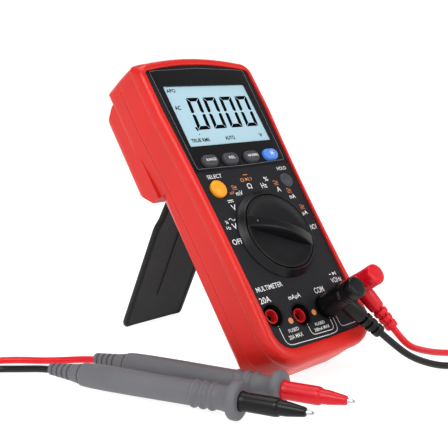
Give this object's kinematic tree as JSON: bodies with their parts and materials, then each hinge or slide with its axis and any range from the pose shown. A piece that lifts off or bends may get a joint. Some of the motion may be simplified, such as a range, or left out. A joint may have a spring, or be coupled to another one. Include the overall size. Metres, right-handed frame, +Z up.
{
  "type": "digital multimeter",
  "caption": "Hand-held digital multimeter with rotary switch, keys, folding rear stand, plug-in test leads and probes, standing tilted back.",
  "frame": {"origin": "on the surface it stands on, at the middle of the box round the meter and its open stand, without the test leads", "axes": "+Z up, -Y towards the user, X across the face; the meter leans back 36.5 degrees on its open stand"},
  "size_m": [0.3019, 0.2757, 0.1703],
  "materials": {
    "case_red": "satin moulded red shell",
    "panel_dark": "fine matt charcoal",
    "bezel_black": "gloss black insert",
    "lens_clear": "clear window",
    "lcd_blue": "pale blue display",
    "key_grey": "soft grey key",
    "key_blue": "soft blue key",
    "key_yellow": "soft yellow key",
    "knob_black": "fine matt black",
    "inner_plastic": "natural moulded plastic",
    "block_black": "matt black",
    "sleeve_red": "dark red insulator",
    "contact_brass": "plated brass",
    "steel": "zinc plated",
    "board_green": "solder mask",
    "chip_black": "moulded epoxy",
    "fuse_ceramic": "ceramic tube",
    "cell_wrap": "printed wrap",
    "silicone": "translucent silicone",
    "stand_black": "matt moulded black",
    "lead_black": "soft insulation",
    "lead_red": "soft insulation",
    "probe_grey": "soft-touch grey",
    "tip_steel": "nickel plated"
  },
  "bodies": {
    "meter": {"backlight": "inner_plastic", "battery_cells": "cell_wrap", "battery_cover": "case_red", "battery_plates": "steel", "buzzer": "contact_brass", "case_screws": "steel", "chips": "chip_black", "coil_black": "lead_black", "coil_red": "lead_red", "contact_strips": "silicone", "cover_screw": "steel", "display_bezel": "bezel_black", "face_panel": "panel_dark", "front_housing": "case_red", "fuse_clips": "contact_brass", "fuses": "fuse_ceramic", "jack_20a": "contact_brass", "jack_block": "block_black", "jack_com": "contact_brass", "jack_ma": "contact_brass", "jack_sleeves": "sleeve_red", "jack_volt": "contact_brass", "keypad_sheet": "silicone", "lcd_cell": "lcd_blue", "lcd_lens": "lens_clear", "lead_black_plug_side": "lead_black", "lead_black_probe_side": "lead_black", "lead_red_plug_side": "lead_red", "lead_red_probe_side": "lead_red", "main_board": "board_green", "plug_black": "lead_black", "plug_pin_black": "tip_steel", "plug_pin_red": "tip_steel", "plug_red": "lead_red", "probe_barrel_black": "lead_black", "probe_barrel_red": "lead_red", "probe_handle_black": "probe_grey", "probe_handle_red": "probe_grey", "probe_tip_black": "tip_steel", "probe_tip_red": "tip_steel", "rear_housing": "case_red", "stand_pin": "steel"},
    "selector": {"knob": "knob_black", "switch_rotor": "inner_plastic", "click_springs": "steel", "click_balls": "steel", "wiper_contacts": "contact_brass", "rotor_washer": "inner_plastic"},
    "stand": {"stand_leg": "stand_black"},
    "key_range": {"key_range": "key_grey"},
    "key_rel": {"key_rel": "key_grey"},
    "key_max_min": {"key_max_min": "key_grey"},
    "key_light": {"key_light": "key_blue"},
    "key_select": {"key_select": "key_yellow"},
    "key_hold": {"key_hold": "key_grey"}
  },
  "joints": [
    {"name": "selector_turn", "type": "hinge", "parent": "meter", "child": "selector", "pos_m": [0, -0.03646, 0.07571], "axis": [0, -0.8039, 0.5948], "range_deg": [-160, 20]},
    {"name": "stand_fold", "type": "hinge", "parent": "meter", "child": "stand", "pos_m": [0, 0.0272, 0.09702], "axis": [1, 0, 0], "range_deg": [-62.5, 0]},
    {"name": "key_range_press", "type": "slide", "parent": "meter", "child": "key_range", "axis": [0, 0.8039, -0.5948], "range_m": [0, 0.0013], "stiffness_N_per_m": 600},
    {"name": "key_rel_press", "type": "slide", "parent": "meter", "child": "key_rel", "axis": [0, 0.8039, -0.5948], "range_m": [0, 0.0013], "stiffness_N_per_m": 600},
    {"name": "key_max_min_press", "type": "slide", "parent": "meter", "child": "key_max_min", "axis": [0, 0.8039, -0.5948], "range_m": [0, 0.0013], "stiffness_N_per_m": 600},
    {"name": "key_light_press", "type": "slide", "parent": "meter", "child": "key_light", "axis": [0, 0.8039, -0.5948], "range_m": [0, 0.0013], "stiffness_N_per_m": 600},
    {"name": "key_select_press", "type": "slide", "parent": "meter", "child": "key_select", "axis": [0, 0.8039, -0.5948], "range_m": [0, 0.0013], "stiffness_N_per_m": 600},
    {"name": "key_hold_press", "type": "slide", "parent": "meter", "child": "key_hold", "axis": [0, 0.8039, -0.5948], "range_m": [0, 0.0013], "stiffness_N_per_m": 600}
  ]
}
